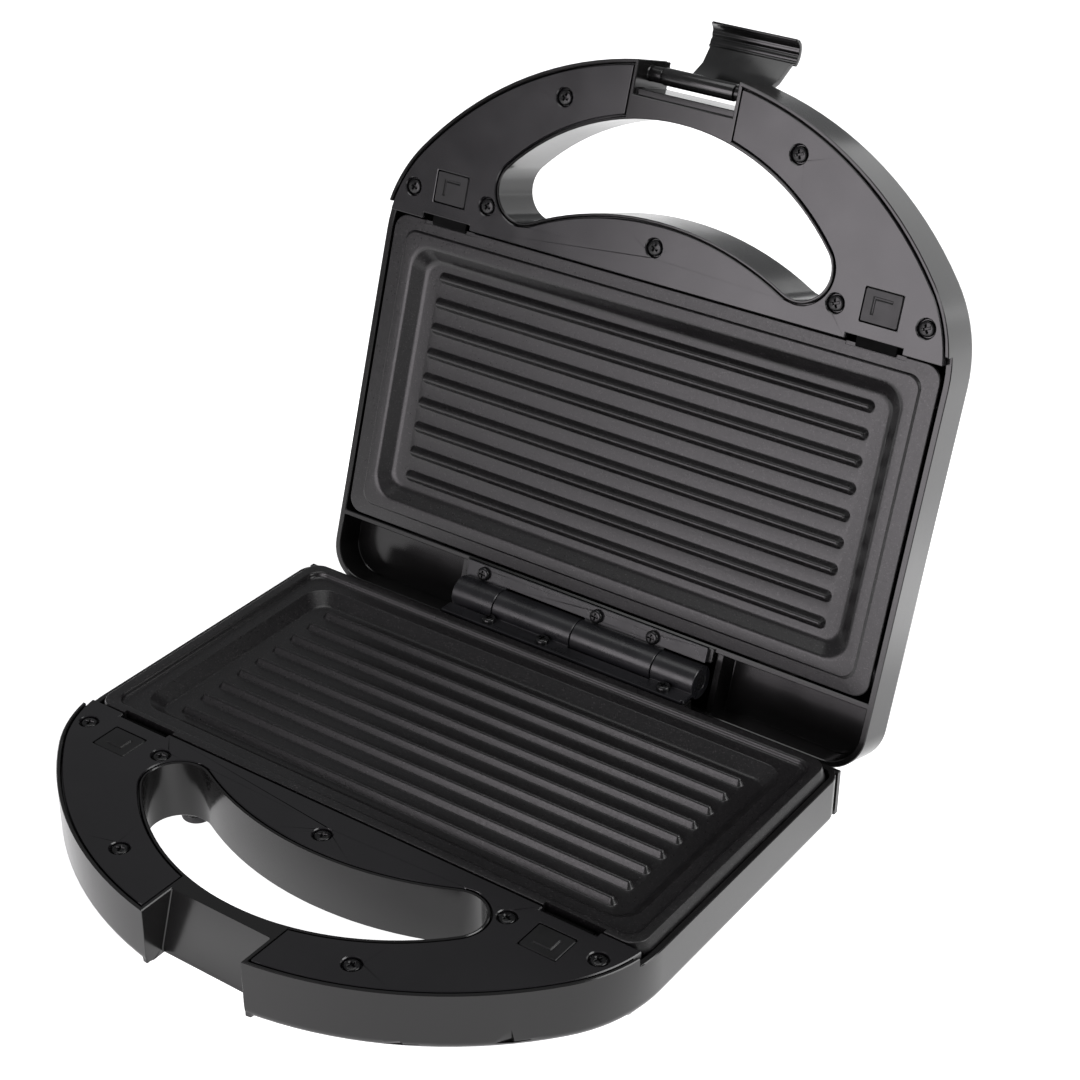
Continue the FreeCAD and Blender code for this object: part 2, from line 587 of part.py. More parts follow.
def cord_gland():
    """Bush for the mains cord in the rear of the tail."""
    axis = Vector(0, 1, 0)
    body = Part.makeCylinder(GLAND_R, 13.0, Vector(GLAND_X, 79.4, GLAND_Z), axis)
    collar = Part.makeCylinder(GLAND_FLANGE_R, 2.2, Vector(GLAND_X, 85, GLAND_Z), axis)
    nut = Part.makeCylinder(GLAND_FLANGE_R, 2.4, Vector(GLAND_X, 80.4, GLAND_Z), axis)
    bore = Part.makeCylinder(GLAND_BORE_R, 30, Vector(GLAND_X, 70, GLAND_Z), axis)
    return fuse([body, collar, nut]).cut(bore)


def lamp(x):
    lens = post(x, LAMP_Y, DOME_TOP_Z - 2.2, DOME_TOP_Z, LAMP_R - 0.05)
    flange = post(x, LAMP_Y, DOME_TOP_Z - 3.6, DOME_TOP_Z - 2.2, LAMP_R + 1.2)
    return swing_open(fuse([lens, flange]))


# ---- hinge ----------------------------------------------------------------------------------
def knuckle_spans(lid_side):
    spans = list(zip(BARREL_CUTS, BARREL_CUTS[1:]))
    chosen = spans[0::2] if lid_side else spans[1::2]
    return [(a + KNUCKLE_GAP / 2, b - KNUCKLE_GAP / 2) for a, b in chosen]


def hinge_leaf(lid_side):
    """Screwed-down leaf with its knuckles, drawn closed."""
    sign = 1 if lid_side else -1
    near = HINGE_Z + sign * LEAF_OFFSET
    far = near + sign * LEAF_T
    low, high = min(near, far), max(near, far)
    leaf = box(-LEAF_HALF_X, LEAF_HALF_X, LEAF_FRONT_Y, LEAF_REAR_Y, low, high)
    knuckles = []
    for x0, x1 in knuckle_spans(lid_side):
        knuckles.append(rod_x(x0, x1, HINGE_Y, HINGE_Z, BARREL_R))
        knuckles.append(box(x0, x1, LEAF_FRONT_Y + 1, HINGE_Y - 3.5, low, high))
    play = PIN_PLAY if lid_side else 0.0
    bore = rod_x(-60, 60, HINGE_Y, HINGE_Z, PIN_R + play)
    xs = LID_HINGE_SCREWS_X if lid_side else BASE_HINGE_SCREWS_X
    holes = [post(x, LEAF_SCREW_Y, low - 1, high + 1, SHANK_HOLE_R) for x in xs]
    return fuse([leaf] + knuckles).cut([bore] + holes)


def hinge_screws(lid_side):
    if lid_side:
        top = HINGE_Z + LEAF_OFFSET
        made = [screw(x, LEAF_SCREW_Y, 0, 2.7, 2.0, 6.5) for x in LID_HINGE_SCREWS_X]
        turned = Part.makeCompound(made).mirror(Vector(0, 0, 0), Vector(0, 0, 1))
        return swing_open(turned.translated(Vector(0, 0, top)))
    top = HINGE_Z - LEAF_OFFSET
    return Part.makeCompound([screw(x, LEAF_SCREW_Y, top, 2.7, 2.0, 6.5)
                              for x in BASE_HINGE_SCREWS_X])


def hinge_pin():
    return rod_x(-54.0, 55.2, HINGE_Y, HINGE_Z, PIN_R)


# ---- plate release --------------------------------------------------------------------------
def release_button(side, icon_side):
    """Square push button, flush in the cover. Its sloped nib drives the tongue back.

    The angle mark has its corner towards icon_side.
    """
    width, height = BUTTON_SIZE
    x = side * BUTTON_X
    cap = box(x - width / 2, x + width / 2, BUTTON_Y - height / 2, BUTTON_Y + height / 2,
              CAP_UNDER, -0.1)
    uprights = [e for e in cap.Edges if e.BoundBox.ZLength > 1.0]
    cap = cap.makeFillet(0.8, uprights)
    engraved = [box(x - 3.6, x + 3.6, BUTTON_Y - 3.2, BUTTON_Y - 2.4, -0.6, 1),
                box(x + icon_side * 3.2 - 0.4, x + icon_side * 3.2 + 0.4,
                    BUTTON_Y - 3.2, BUTTON_Y + 2.8, -0.6, 1)]
    stem = post(x, BUTTON_Y, COLLAR_UNDER, CAP_UNDER, 2.0)
    collar = post(x, BUTTON_Y, COLLAR_UNDER, COLLAR_TOP, 4.8)
    nib_foot = TONGUE_TOP + 0.05
    nib = yz_prism([(BUTTON_Y - 1, CAP_UNDER), (BUTTON_Y - 5.8, CAP_UNDER),
                    (BUTTON_Y - 5.8, nib_foot + 2.85), (BUTTON_Y - 2.95, nib_foot),
                    (BUTTON_Y - 1, nib_foot)], x - 2.4, x + 2.4)
    return fuse([cap.cut(engraved), stem, collar, nib])


def release_spring(side, depth):
    """Coil spring between the handle floor and the collar of the button's stem."""
    bottom, top = -depth + SKIN, COLLAR_UNDER
    coil_r, wire_r = 3.5, 0.5
    turns = 4.0
    pitch = (top - bottom - 2 * wire_r - 0.1) / turns
    helix = Part.makeHelix(pitch, pitch * turns, coil_r)
    section = Part.Wire(Part.makeCircle(wire_r, Vector(coil_r, 0, 0), Vector(0, 1, 0)))
    coil = Part.Wire(helix).makePipeShell([section], True, True)
    return coil.translated(Vector(side * BUTTON_X, BUTTON_Y, bottom + wire_r + 0.05))


def tongue(side):
    """Sliding tongue: a slotted bar around the stem, with a nose over the plate flange."""
    x0, x1 = side * BUTTON_X - TONGUE_HALF, side * BUTTON_X + TONGUE_HALF
    bar = box(x0, x1, -84, -66, TONGUE_UNDER, TONGUE_TOP)
    catch = FLANGE_CATCH_Z + 0.05
    nose = yz_prism([(TONGUE_TIP_Y, catch), (TONGUE_TIP_Y, -3.1), (TONGUE_TIP_Y - 0.8, -2.7),
                     (-64.8, -2.7), (-66.2, -4.5), (-66.2, TONGUE_UNDER), (-64, TONGUE_UNDER),
                     (-64, catch)], x0, x1)
    slot = box(side * BUTTON_X - 3.2, side * BUTTON_X + 3.2, BUTTON_Y - 3, BUTTON_Y + 5,
               TONGUE_UNDER - 1, TONGUE_TOP + 1)
    return fuse([bar, nose]).cut(slot)


def tongue_rails(depth):
    """Two rails on the handle floor carry each tongue."""
    return [box(side * BUTTON_X + across - 0.9, side * BUTTON_X + across + 0.9, -86, -70,
                -depth + 1, TONGUE_UNDER - 0.05) for side in (-1, 1) for across in (-6, 6)]


# ---- latch ----------------------------------------------------------------------------------
def latch_rod():
    return swing_open(rod_x(-22.4, 22.4, ROD_Y, ROD_Z, ROD_R))


def clip_point(radius, degrees):
    """A point at a radius and an angle about the rod, in the closed lid's YZ plane."""
    angle = math.radians(degrees)
    return Vector(-CLIP_LIP_HALF, ROD_Y + radius * math.cos(angle), ROD_Z + radius * math.sin(angle))


def clip_arc(start, middle, end):
    return arc_through(clip_point(*start), clip_point(*middle), clip_point(*end))


def clip_line(start, end):
    return Part.makeLine(clip_point(*start), clip_point(*end))


def latch_clip():
    """Clip swung up out of the way: barrel on the rod, dished arm, and a lip round the rod's axis."""
    barrel = rod_x(-CLIP_HALF, CLIP_HALF, ROD_Y, ROD_Z, CLIP_BARREL_R)
    root, tip = CLIP_LIP_DEG
    outer = CLIP_REACH + 0.1
    inner = CLIP_REACH - CLIP_T
    section = [clip_arc((2.4, 70.0), (20.0, 93.0), (inner, root - 1.0)),
               clip_arc((inner, root - 1.0), (inner, (root + tip) / 2), (inner, tip)),
               clip_line((inner, tip), (outer, tip)),
               clip_arc((outer, tip), (outer, (root + tip) / 2), (outer, root - 4.0)),
               clip_arc((outer, root - 4.0), (20.6, 87.0), (3.1, 10.0)),
               clip_line((3.1, 10.0), (2.4, 70.0))]
    face = Part.Face(Part.Wire(section))
    profile = face.extrude(Vector(2 * CLIP_LIP_HALF, 0, 0))
    clip = fuse([barrel, profile.cut(clip_side_cut())])
    bore = rod_x(-30, 30, ROD_Y, ROD_Z, ROD_R + PIN_PLAY)
    return swing_open(clip.cut(bore))


def clip_side_cut():
    """The arm narrows towards the barrel, in two hollow curves."""
    low_z, high_z = ROD_Z - 5, ROD_Z + 26
    cuts = []
    for side in (-1, 1):
        start = Vector(side * CLIP_HALF, -160, low_z)
        waist = Vector(side * (CLIP_HALF + 0.8), -160, ROD_Z + 13)
        end = Vector(side * (CLIP_LIP_HALF + 0.2), -160, high_z)
        far_top, far_low = Vector(side * 40, -160, high_z), Vector(side * 40, -160, low_z)
        edges = [arc_through(start, waist, end), Part.makeLine(end, far_top),
                 Part.makeLine(far_top, far_low), Part.makeLine(far_low, start)]
        face = Part.Face(Part.Wire(edges))
        cuts.append(face.extrude(Vector(0, 60, 0)))
    return cuts


# ---- feet -----------------------------------------------------------------------------------
def feet(place):
    x, y = place
    made = []
    for side in (-1, 1):
        pad = post(side * x, y, 0, PAN_BOTTOM_Z - 2, FOOT_R - 0.3)
        made.append(pad.makeFillet(0.8, [pad.Edges[2]]))
    return Part.makeCompound(made)


def pan_screws():
    upright = [screw(x, y, 0, 2.8, 1.2, 11.0) for x, y in standoff_places()]
    turned = Part.makeCompound(upright).mirror(Vector(0, 0, 0), Vector(0, 0, 1))
    return turned.translated(Vector(0, 0, PAN_SCREW_Z))


# ---- every node -----------------------------------------------------------------------------
def build():
    nodes = {
        "base_housing": base_housing(),
        "base_pan": base_pan(),
        "base_cover": in_base(cover()),
        "base_cover_screws": in_base(cover_screws()),
        "base_pan_screws": pan_screws(),
        "front_feet": feet(FRONT_FOOT),
        "rear_feet": feet(REAR_FOOT),
        "cord_gland": cord_gland(),
        "terminal_block": terminal_block(),
        "lower_plate": in_base(plate(True)),
        "lower_element": in_base(element()),
        "lower_element_clamps": in_base(element_clamps()),
        "lower_reflector": in_base(reflector()),
        "lower_thermostat": in_base(thermostat(10.0, 0.0)),
        "thermal_fuse": in_base(fuse_link()),
        "base_hinge": hinge_leaf(False),
        "base_hinge_screws": hinge_screws(False),
        "hinge_pin": hinge_pin(),
        "lid_housing": lid_housing(),
        "lid_dome": lid_dome(),
        "lid_cover": in_lid(cover()),
        "lid_cover_screws": in_lid(cover_screws()),
        "upper_plate": in_lid(plate(False)),
        "upper_element": in_lid(element()),
        "upper_element_clamps": in_lid(element_clamps()),
        "upper_reflector": in_lid(reflector()),
        "upper_thermostat": in_lid(thermostat(10.0, 0.0)),
        "lid_hinge": swing_open(hinge_leaf(True)),
        "lid_hinge_screws": hinge_screws(True),
        "power_lens": lamp(LAMP_X[0]),
        "ready_lens": lamp(LAMP_X[1]),
        "latch_rod": latch_rod(),
        "latch_clip": latch_clip(),
    }
    for word, side in (("left", -1), ("right", 1)):
        nodes["base_button_" + word] = in_base(release_button(side, 1))
        nodes["base_tongue_" + word] = in_base(tongue(side))
        nodes["base_spring_" + word] = in_base(release_spring(side, BASE_DEPTH))
        nodes["lid_button_" + word] = in_lid(release_button(side, -1))
        nodes["lid_tongue_" + word] = in_lid(tongue(side))
        nodes["lid_spring_" + word] = in_lid(release_spring(side, LID_DEPTH))
    return nodes


os.makedirs("parts", exist_ok=True)
for name, shape in build().items():
    placed = shape.translated(Vector(0, ORIGIN_SHIFT_Y, 0))
    placed.exportStep("parts/%s.step" % name)
    print(name, "valid" if placed.isValid() else "INVALID", len(placed.Solids), round(placed.Volume))
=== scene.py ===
import json
import math

import bmesh
import bpy
from mathutils import Matrix, Vector
from mathutils.bvhtree import BVHTree


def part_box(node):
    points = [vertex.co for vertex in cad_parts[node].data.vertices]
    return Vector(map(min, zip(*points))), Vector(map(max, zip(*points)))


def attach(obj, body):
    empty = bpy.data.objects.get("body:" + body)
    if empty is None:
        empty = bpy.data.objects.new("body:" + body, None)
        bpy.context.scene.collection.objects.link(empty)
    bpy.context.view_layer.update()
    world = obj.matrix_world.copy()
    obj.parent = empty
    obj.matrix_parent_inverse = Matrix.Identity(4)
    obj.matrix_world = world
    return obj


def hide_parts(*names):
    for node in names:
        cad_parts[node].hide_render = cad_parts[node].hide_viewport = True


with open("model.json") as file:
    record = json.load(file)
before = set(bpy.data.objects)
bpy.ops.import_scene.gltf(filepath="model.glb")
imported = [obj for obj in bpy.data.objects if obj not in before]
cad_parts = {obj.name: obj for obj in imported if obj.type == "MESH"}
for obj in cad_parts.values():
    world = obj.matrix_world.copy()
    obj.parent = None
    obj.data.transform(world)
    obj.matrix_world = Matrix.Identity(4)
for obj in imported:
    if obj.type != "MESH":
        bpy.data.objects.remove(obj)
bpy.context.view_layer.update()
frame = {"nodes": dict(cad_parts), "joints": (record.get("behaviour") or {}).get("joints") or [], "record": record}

# Panini press, open. Metres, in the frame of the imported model: +X along the hinge, -Y to the handle.
# Both halves are drawn in a "half" frame: Z = 0 at the rim, -Z into the half, the plate's centre at 0.
MM = 0.001

# ---- places read from the frame -------------------------------------------------------------
JOINTS = {joint["name"]: joint for joint in frame["joints"]}
HINGE = Vector(JOINTS["lid_hinge"]["pos_m"])
LID_TURN = math.radians(JOINTS["lid_hinge"]["range_deg"][1])
PLATE_Y = HINGE.y - 74.8 * MM
BASE_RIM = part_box("base_cover")[1].z
LID_RIM = BASE_RIM + 3.2 * MM  # of the closed lid
SLOT_OF = {part["node"]: part["material_slot"] for part in frame["record"]["subparts"]}
BODY_OF = {node: body for body, nodes in frame["record"]["behaviour"]["bodies"].items()
           for node in nodes}

# ---- cooking plate, half frame, mm ----------------------------------------------------------
LIP_X, LIP_Y = 116.2, 60.7
LIP_W, LEDGE_W, WELL_W = 4.5, 5.6, 4.9
FLANGE_Z, LID_FLANGE_Z, LEDGE_Z, FLOOR_Z = -5.0, -3.3, -2.4, -6.9
PLATE_T = 2.4
WALL_SPREAD = 1.6  # how far the tray's underside stands out past its inside
LIP_REACH_X, LIP_REACH_Y = 1.9, 0.4  # foot of the lower plate's lip, past its top
LID_FLANGE_REACH = 1.2
FLOOR_EDGE = 6.0  # level floor between the well's foot and the part that holds the ribs
RIB_COUNT, RIB_PITCH, RIB_LENGTH = 9, 10.0, 190.0
RIB_HEIGHT, RIB_CREST_R, RIB_FOOT_R, RIB_SLOPE = 2.6, 1.1, 0.6, math.radians(60.0)
NOTCH_X, NOTCH_Y, NOTCH_Z = (80.1, 103.4), -59.3, -3.6
TAB_X, TAB_HALF, TAB_Y, TAB_Z = 80.0, 8.0, 62.9, (-8.5, -7.3)

# ---- screws, half frame, mm -----------------------------------------------------------------
COVER_SCREWS = ((-109.3, -72.4), (109.3, -72.4), (-74.5, -72.5), (74.5, -72.5),
                (-49.1, -118.8), (49.1, -118.8), (0.0, -74.2))
SCREW_SEAT, SCREW_HEAD_R, SCREW_HEAD_H, SCREW_LENGTH = -1.8, 2.9, 1.6, 9.0
SHANK_R = 1.3
SCREW_SHARP_DEG = 40.0
SCREW_TURN, SCREW_TURN_STEP = 0.35, 0.8  # how far the first cross is turned, and each next one


# ---- materials ------------------------------------------------------------------------------
class Nodes:
    """A short way to build one node material."""

    def __init__(self, name):
        self.material = bpy.data.materials.new(name)
        self.material.use_nodes = True
        self.tree = self.material.node_tree
        self.shader = self.tree.nodes["Principled BSDF"]
        self.place = self.add("ShaderNodeTexCoord").outputs["Object"]

    def add(self, kind, **settings):
        node = self.tree.nodes.new(kind)
        for key, value in settings.items():
            setattr(node, key, value)
        return node

    def join(self, output, socket):
        self.tree.links.new(output, socket)

    def noise(self, size_mm, detail=3.0):
        node = self.add("ShaderNodeTexNoise")
        node.inputs["Scale"].default_value = 1.0 / (size_mm * MM)
        node.inputs["Detail"].default_value = detail
        self.join(self.place, node.inputs["Vector"])
        return node.outputs["Fac"]

    def ramp(self, value, low, high):
        """Spreads the middle of a noise between two numbers."""
        node = self.add("ShaderNodeMapRange")
        node.inputs["From Min"].default_value = 0.3
        node.inputs["From Max"].default_value = 0.7
        node.inputs["To Min"].default_value = low
        node.inputs["To Max"].default_value = high
        self.join(value, node.inputs["Value"])
        return node.outputs["Result"]

    def blend(self, factor, low, high):
        """A colour between two colours."""
        node = self.add("ShaderNodeMix", data_type="RGBA")
        self.join(factor, node.inputs["Factor"])
        node.inputs["A"].default_value = (*low, 1)
        node.inputs["B"].default_value = (*high, 1)
        return node.outputs["Result"]

    def bump(self, heights):
        """Adds up height fields, each (noise output, depth in mm)."""
        normal = None
        for height, depth in heights:
            node = self.add("ShaderNodeBump")
            node.inputs["Strength"].default_value = 1.0
            node.inputs["Distance"].default_value = depth * MM
            self.join(height, node.inputs["Height"])
            if normal is not None:
                self.join(normal, node.inputs["Normal"])
            normal = node.outputs["Normal"]
        self.join(normal, self.shader.inputs["Normal"])


def finish(name, colours, rough, sizes, depths, metallic=0.0, ior=1.5):
    """Material with colour, roughness and surface relief that all vary.
    colours and rough are (low, high); sizes are the patch, haze and grain sizes in mm;
    depths are the relief of the haze and of the grain in mm."""
    nodes = Nodes(name)
    patch = nodes.noise(sizes[0])
    haze = nodes.noise(sizes[1], 4.0)
    grain = nodes.noise(sizes[2], 2.0)
    nodes.join(nodes.blend(nodes.ramp(patch, 0.0, 1.0), *colours), nodes.shader.inputs["Base Color"])
    nodes.join(nodes.ramp(haze, *rough), nodes.shader.inputs["Roughness"])
    nodes.bump([(haze, depths[0]), (grain, depths[1])])
    nodes.shader.inputs["Metallic"].default_value = metallic
    nodes.shader.inputs["IOR"].default_value = ior
    return nodes.material


def coated_plate():
    """Non-stick coating: charcoal, with a fine spatter of paler specks."""
    nodes = Nodes("nonstick_coating")
    patch = nodes.noise(28.0)
    speck = nodes.noise(0.55, 2.0)
    grain = nodes.noise(0.9, 3.0)
    base = nodes.blend(nodes.ramp(patch, 0.0, 1.0), (0.0045, 0.0042, 0.0045), (0.0065, 0.006, 0.0065))
    mix = nodes.add("ShaderNodeMix", data_type="RGBA")
    threshold = nodes.add("ShaderNodeMapRange")
    threshold.inputs["From Min"].default_value = 0.6
    threshold.inputs["From Max"].default_value = 0.75
    nodes.join(speck, threshold.inputs["Value"])
    nodes.join(threshold.outputs["Result"], mix.inputs["Factor"])
    nodes.join(base, mix.inputs["A"])
    mix.inputs["B"].default_value = (0.045, 0.041, 0.043, 1)
    nodes.join(mix.outputs["Result"], nodes.shader.inputs["Base Color"])
    nodes.join(nodes.ramp(grain, 0.27, 0.36), nodes.shader.inputs["Roughness"])
    nodes.bump([(grain, 0.022), (speck, 0.008)])
    nodes.shader.inputs["IOR"].default_value = 1.45
    return nodes.material


def lens(name, colour):
    """Clear coloured plastic of a lamp window."""
    nodes = Nodes(name)
    cloud = nodes.noise(2.0)
    nodes.join(nodes.blend(nodes.ramp(cloud, 0.0, 1.0), colour, [c * 0.7 for c in colour]),
               nodes.shader.inputs["Base Color"])
    nodes.join(nodes.ramp(cloud, 0.05, 0.12), nodes.shader.inputs["Roughness"])
    nodes.shader.inputs["Transmission Weight"].default_value = 0.6
    nodes.shader.inputs["IOR"].default_value = 1.49
    return nodes.material


MATERIALS = {
    "housing": finish("gloss_moulding", ((0.004, 0.0039, 0.0039), (0.006, 0.0058, 0.0058)),
                      (0.15, 0.21), (60, 18, 0.7), (0.02, 0.0006), ior=1.46),
    # The slight violet in the cover's colour is a painted reflection tint: it stands in for the tint of the light
    # the cover reflects.
    "cover": finish("satin_moulding", ((0.005, 0.0046, 0.0053), (0.0075, 0.007, 0.008)),
                    (0.19, 0.24), (45, 14, 0.45), (0.01, 0.001), ior=1.5),
    "plate": coated_plate(),
    "button": finish("matt_button", ((0.003, 0.003, 0.003), (0.005, 0.005, 0.0055)),
                     (0.34, 0.42), (12, 5, 0.5), (0.01, 0.002), ior=1.4),
    "hinge": finish("painted_steel", ((0.005, 0.005, 0.006), (0.009, 0.009, 0.0105)),
                    (0.24, 0.34), (16, 7, 0.9), (0.05, 0.002), ior=1.5),
    "screws": finish("black_zinc", ((0.002, 0.002, 0.0022), (0.004, 0.004, 0.0045)),
                     (0.22, 0.34), (3, 1.2, 0.3), (0.01, 0.002), ior=1.4),
    "steel": finish("dark_oxide_steel", ((0.05, 0.05, 0.052), (0.08, 0.08, 0.083)),
                    (0.2, 0.34), (6, 2, 0.4), (0.02, 0.004), metallic=0.9),
    "rubber": finish("rubber", ((0.012, 0.012, 0.013), (0.02, 0.02, 0.021)),
                     (0.6, 0.8), (5, 2, 0.4), (0.03, 0.02)),
    "inner_plastic": finish("heat_moulding", ((0.55, 0.5, 0.42), (0.65, 0.6, 0.5)),
                            (0.5, 0.65), (8, 3, 0.5), (0.02, 0.01)),
    "heater": finish("oxidised_sheath", ((0.07, 0.075, 0.07), (0.14, 0.13, 0.11)),
                     (0.4, 0.6), (12, 4, 0.6), (0.03, 0.01), metallic=0.7),
    "reflector": finish("pressed_aluminium", ((0.55, 0.55, 0.55), (0.68, 0.68, 0.69)),
                        (0.25, 0.4), (20, 5, 0.6), (0.02, 0.006), metallic=1.0),
    "latch": finish("gloss_latch", ((0.003, 0.003, 0.003), (0.005, 0.005, 0.005)),
                    (0.16, 0.26), (30, 9, 0.6), (0.02, 0.003), ior=1.55),
    # The tongue's near-black colour is painted shade: it is darkened so it reads as the dark slot it sits in.
    "tongue": finish("tongue_painted_shade", ((0.001, 0.001, 0.001), (0.002, 0.002, 0.002)),
                     (0.7, 0.8), (10, 4, 0.5), (0.02, 0.006), ior=1.15),
    "red_lens": lens("red_lens", (0.6, 0.02, 0.015)),
    "green_lens": lens("green_lens", (0.03, 0.5, 0.07)),
}


# ---- placing and shading --------------------------------------------------------------------
FLAT_AREA = 30.0 * MM ** 2  # level areas larger than this are shaded flat
LEVEL_DOT = 0.99999         # smallest dot product of the normals of two level faces
SHARP_DEG = 34.0            # edges bent more than this stay sharp
WELD = 0.01 * MM            # points closer than this are one
MERGE_DEG = 0.3             # faces bent less than this are joined
BREAK_DEG = 32.0            # edges bent more than this are broken


def half_to_base():
    """Half frame in mm to the row frame, for the base."""
    return Matrix.Translation((0, PLATE_Y, BASE_RIM)) @ Matrix.Diagonal((MM, MM, MM, 1))


def half_to_lid():
    """Half frame in mm to the row frame, for the lid: mirrored, then opened about the hinge."""
    closed = Matrix.Translation((0, PLATE_Y, LID_RIM)) @ Matrix.Diagonal((MM, MM, -MM, 1))
    turn = Matrix.Rotation(-LID_TURN, 4, "X")
    return Matrix.Translation(HINGE) @ turn @ Matrix.Translation(-HINGE) @ closed


def flat_faces(bm):
    """Indices of the faces in large level areas; all other faces are steps of curves."""
    bm.normal_update()
    bm.faces.index_update()
    found, seen = set(), set()
    for first in bm.faces:
        if first.index in seen:
            continue
        seen.add(first.index)
        level, waiting = [first], [first]
        while waiting:
            for edge in waiting.pop().edges:
                for face in edge.link_faces:
                    if face.index not in seen and face.normal.dot(first.normal) > LEVEL_DOT:
                        seen.add(face.index)
                        level.append(face)
                        waiting.append(face)
        if sum(face.calc_area() for face in level) > FLAT_AREA:
            found.update(face.index for face in level)
    return found


def make_piece(name, bm, transform, slot, body, node, sharp_deg=SHARP_DEG):
    """Puts a finished mesh in the row frame, in place of a CAD node, on its body."""
    bm.transform(transform)
    if transform.determinant() < 0:
        bmesh.ops.reverse_faces(bm, faces=bm.faces)
    flats = flat_faces(bm)
    smooth = [face.index not in flats for face in bm.faces]
    mesh = bpy.data.meshes.new(name)
    bm.to_mesh(mesh)
    bm.free()
    for layer in ("custom_normal", "sharp_face"):
        if layer in mesh.attributes:
            mesh.attributes.remove(mesh.attributes[layer])
    mesh.polygons.foreach_set("use_smooth", smooth)
    mesh.set_sharp_from_angle(angle=math.radians(sharp_deg))
    piece = bpy.data.objects.new(name, mesh)
    bpy.context.scene.collection.objects.link(piece)
    mesh.materials.clear()
    mesh.materials.append(MATERIALS[slot])
    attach(piece, body)
    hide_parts(node)
    return piece


def evaluated(bm, kind, **settings):
    """The mesh after one modifier."""
    mesh = bpy.data.meshes.new("work")
    bm.to_mesh(mesh)
    bm.free()
    holder = bpy.data.objects.new("work", mesh)
    bpy.context.scene.collection.objects.link(holder)
    change = holder.modifiers.new("change", kind)
    for key, value in settings.items():
        setattr(change, key, value)
    made = bmesh.new()
    made.from_object(holder, bpy.context.evaluated_depsgraph_get())
    bpy.data.objects.remove(holder)
    bpy.data.meshes.remove(mesh)
    return made


def refine(node, edge_mm, material=None):
    """The CAD node's own shape with its edges broken.
    Points that this throws off the surface are put back on it."""
    bm = bmesh.new()
    bm.from_mesh(frame["nodes"][node].data)
    bmesh.ops.remove_doubles(bm, verts=bm.verts, dist=WELD)
    surface = BVHTree.FromBMesh(bm)
    bm = evaluated(bm, "BEVEL", width=edge_mm * MM, segments=1, limit_method="ANGLE",
                   angle_limit=math.radians(BREAK_DEG), use_clamp_overlap=False)
    for vert in bm.verts:
        nearest, _, _, distance = surface.find_nearest(vert.co)
        if distance > 0.5 * edge_mm * MM:
            vert.co = nearest
    bmesh.ops.remove_doubles(bm, verts=bm.verts, dist=WELD)
    bmesh.ops.dissolve_limit(bm, angle_limit=math.radians(MERGE_DEG), verts=bm.verts,
                             edges=bm.edges)
    piece = make_piece(node + "_finished", bm, Matrix.Identity(4), SLOT_OF[node],
                       BODY_OF[node], node)
    if material:
        piece.data.materials[0] = MATERIALS[material]
    flats = piece.modifiers.new("flats", "WEIGHTED_NORMAL")
    flats.keep_sharp = True


# ---- cooking plates -------------------------------------------------------------------------
def rounded_rect(half_x, half_y, radius, z, steps=10):
    """Ring of points of a rectangle with round corners."""
    ring = []
    for quarter, (sx, sy) in enumerate(((1, 1), (-1, 1), (-1, -1), (1, -1))):
        for i in range(steps + 1):
            angle = math.pi / 2 * (quarter + i / steps)
            ring.append(Vector((sx * (half_x - radius) + radius * math.cos(angle),
                                sy * (half_y - radius) + radius * math.sin(angle), z)))
    return ring


def stadium(half_length, radius, y, z, steps=14):
    """Ring of a slot shape along X."""
    ring = []
    for end in (0, 1):
        x = half_length if end == 0 else -half_length
        for i in range(steps + 1):
            angle = -math.pi / 2 + math.pi * (end + i / steps)
            ring.append(Vector((x + radius * math.cos(angle), y + radius * math.sin(angle), z)))
    return ring


def fillet(points, radii, steps=5):
    """Rounds the corners of an open polyline of (half width, half depth, corner radius, height),
    with each radius measured in the plane of half width and height."""
    made = [points[0]]
    for before, corner, after, radius in zip(points, points[1:], points[2:], radii):
        flat = [Vector((p[0], p[-1])) for p in (before, corner, after)]
        back, ahead = flat[0] - flat[1], flat[2] - flat[1]
        half_turn = back.angle(ahead) / 2
        reach = min(radius / math.tan(half_turn), 0.45 * back.length, 0.45 * ahead.length)
        start = corner.lerp(before, reach / back.length)
        end = corner.lerp(after, reach / ahead.length)
        for i in range(steps + 1):
            t = i / steps
            made.append(start.lerp(corner, t).lerp(corner.lerp(end, t), t))
    made.append(points[-1])
    return made


def skin_rings(bm, rings):
    """Joins equal rings with quads and returns their vertices."""
    rows = [[bm.verts.new(point) for point in ring] for ring in rings]
    for low, high in zip(rows, rows[1:]):
        for i in range(len(low)):
            j = (i + 1) % len(low)
            bm.faces.new((low[i], low[j], high[j], high[i]))
    return rows


def ring_edges(bm, row):
    """The edges round one ring of vertices."""
    return [bm.edges.get((row[i], row[(i + 1) % len(row)])) for i in range(len(row))]


def rib_profile():
    """Half section (half width, height): hollow foot, straight flank, round crest."""
    crest_z = RIB_HEIGHT - RIB_CREST_R
    crest_end = Vector((RIB_CREST_R * math.sin(RIB_SLOPE),
                        crest_z + RIB_CREST_R * math.cos(RIB_SLOPE)))
    foot_z = RIB_FOOT_R * (1 - math.cos(RIB_SLOPE))
    foot_x = crest_end.x + (crest_end.y - foot_z) / math.tan(RIB_SLOPE)
    foot_centre_x = foot_x + RIB_FOOT_R * math.sin(RIB_SLOPE)
    made = []
    for i in range(5):
        angle = RIB_SLOPE * i / 4
        made.append((foot_centre_x - RIB_FOOT_R * math.sin(angle),
                     RIB_FOOT_R * (1 - math.cos(angle))))
    for i in range(9):
        angle = RIB_SLOPE * (1 - i / 9)
        made.append((RIB_CREST_R * math.sin(angle), crest_z + RIB_CREST_R * math.cos(angle)))
    return made


def rib(bm, y):
    """One ridge with domed ends; returns the loop where it meets the floor."""
    profile = rib_profile()
    half = RIB_LENGTH / 2 - profile[0][0]
    rows = skin_rings(bm, [stadium(half, radius, y, FLOOR_Z + z) for radius, z in profile])
    bm.faces.new(rows[-1])
    return rows[0]


